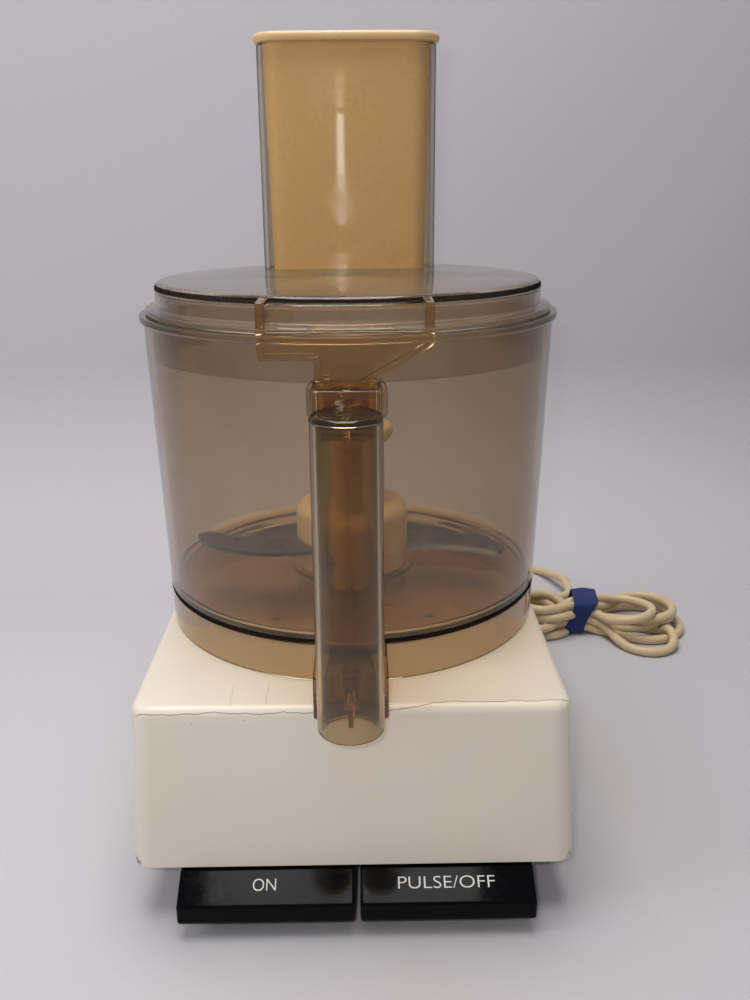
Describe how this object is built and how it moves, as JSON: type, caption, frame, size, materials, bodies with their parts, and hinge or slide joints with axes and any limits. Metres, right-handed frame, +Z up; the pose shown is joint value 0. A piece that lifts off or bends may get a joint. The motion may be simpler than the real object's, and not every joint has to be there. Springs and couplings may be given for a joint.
{
  "type": "food processor",
  "caption": "Countertop food processor: cream motor base with two black levers, smoke-clear work bowl with hollow handle, knife, lid with tall feed tube and pusher, and its tied cord.",
  "frame": {"origin": "centre of the footprint of base, bowl and handle, on the table", "axes": "+Z up, -Y the front with the levers and the handle, +X to the right of a person facing the front"},
  "size_m": [0.3363, 0.4365, 0.3807],
  "materials": {
    "cream_paint": "painted, satin gloss, yellowed",
    "black_gloss": "moulded, high gloss",
    "black_matte": "moulded, fine texture",
    "foot_rubber": "moulded rubber",
    "smoke_clear": "clear smoke plastic, polished",
    "amber_clear": "clear amber plastic, polished",
    "tan_plastic": "moulded, satin",
    "hub_plastic": "moulded, satin",
    "sleeve_plastic": "moulded, satin",
    "blade_steel": "ground stainless steel",
    "zinc_steel": "bright zinc plated steel",
    "motor_steel": "laminated steel",
    "copper_wire": "varnished winding wire",
    "bracket_alloy": "die cast",
    "bronze": "sintered bronze",
    "switch_plastic": "moulded",
    "red_plastic": "moulded",
    "block_plastic": "moulded",
    "cord_vinyl": "flexible vinyl jacket, satin",
    "tie_cloth": "matt woven band",
    "plug_brass": "stamped brass"
  },
  "bodies": {
    "base": {"housing": "cream_paint", "bottom_pan": "black_matte", "rubber_feet": "foot_rubber", "base_screws": "zinc_steel", "deck_collar": "sleeve_plastic", "shaft_seal": "foot_rubber", "upper_bracket": "bracket_alloy", "lower_bracket": "bracket_alloy", "bearings": "bronze", "stator_core": "motor_steel", "stator_windings": "copper_wire", "motor_bolts": "zinc_steel", "capacitor": "black_matte", "capacitor_clip": "zinc_steel", "switch_plate": "zinc_steel", "on_switch": "switch_plastic", "pulse_switch": "switch_plastic", "interlock_switch": "switch_plastic", "interlock_bracket": "zinc_steel", "lever_pins": "zinc_steel", "on_spring": "zinc_steel", "pulse_spring": "zinc_steel", "interlock_spring": "zinc_steel", "terminal_block": "block_plastic", "cord_gland": "cord_vinyl", "cord_lead": "cord_vinyl", "cord_hank": "cord_vinyl", "cord_tie": "tie_cloth", "cord_tail": "cord_vinyl", "plug_body": "cord_vinyl", "plug_blades": "plug_brass"},
    "rotor": {"rotor_core": "motor_steel", "drive_shaft": "zinc_steel", "drive_sleeve": "sleeve_plastic", "cooling_fan": "black_matte"},
    "on_lever": {"on_lever": "black_gloss"},
    "pulse_lever": {"pulse_lever": "black_gloss"},
    "on_plunger": {"on_plunger": "red_plastic"},
    "pulse_plunger": {"pulse_plunger": "red_plastic"},
    "interlock_pin": {"interlock_pin": "sleeve_plastic"},
    "bowl": {"work_bowl": "smoke_clear", "bowl_handle": "smoke_clear"},
    "interlock_rod": {"interlock_rod": "amber_clear"},
    "knife": {"knife_hub": "hub_plastic", "upper_blade": "blade_steel", "lower_blade": "blade_steel"},
    "lid": {"lid": "smoke_clear", "feed_tube": "smoke_clear", "lid_cam": "amber_clear"},
    "pusher": {"pusher": "tan_plastic"}
  },
  "joints": [
    {"name": "rotor_spin", "type": "hinge", "parent": "base", "child": "rotor", "pos_m": [0, 0.006, 0.1], "axis": [0, 0, 1], "continuous": true},
    {"name": "bowl_lift", "type": "slide", "parent": "base", "child": "bowl", "axis": [0, 0, 1], "range_m": [0, 0.11]},
    {"name": "knife_spin", "type": "hinge", "parent": "bowl", "child": "knife", "pos_m": [0, 0.006, 0.15], "axis": [0, 0, 1], "continuous": true},
    {"name": "lid_lift", "type": "slide", "parent": "bowl", "child": "lid", "axis": [0, 0, 1], "range_m": [0, 0.12]},
    {"name": "pusher_slide", "type": "slide", "parent": "lid", "child": "pusher", "axis": [0, 0, 1], "range_m": [0, 0.12]},
    {"name": "rod_rise", "type": "slide", "parent": "bowl", "child": "interlock_rod", "axis": [0, 0, 1], "range_m": [0, 0.0036]},
    {"name": "pin_rise", "type": "slide", "parent": "base", "child": "interlock_pin", "axis": [0, 0, 1], "range_m": [0, 0.0036], "deforming": ["interlock_spring"]},
    {"name": "on_press", "type": "hinge", "parent": "base", "child": "on_lever", "pos_m": [0, -0.0543, 0.032], "axis": [1, 0, 0], "range_deg": [0, 3.5], "stiffness_Nm_per_rad": 1.5, "springref_deg": -1.72, "deforming": ["on_spring"]},
    {"name": "pulse_press", "type": "hinge", "parent": "base", "child": "pulse_lever", "pos_m": [0, -0.0543, 0.032], "axis": [1, 0, 0], "range_deg": [0, 3.5], "stiffness_Nm_per_rad": 1.5, "springref_deg": -1.72, "deforming": ["pulse_spring"]},
    {"name": "on_plunger_slide", "type": "slide", "parent": "base", "child": "on_plunger", "axis": [0, 0, -1], "range_m": [0, 0.0012]},
    {"name": "pulse_plunger_slide", "type": "slide", "parent": "base", "child": "pulse_plunger", "axis": [0, 0, -1], "range_m": [0, 0.0012]}
  ],
  "couplings": [
    {"joint": "knife_spin", "follows": "rotor_spin", "ratio": 1},
    {"joint": "rod_rise", "follows": "lid_lift", "ratio": 0.03},
    {"joint": "pin_rise", "follows": "lid_lift", "ratio": 0.03},
    {"joint": "on_plunger_slide", "follows": "on_press", "m_per_rad": 0.0125},
    {"joint": "pulse_plunger_slide", "follows": "pulse_press", "m_per_rad": 0.0125}
  ]
}
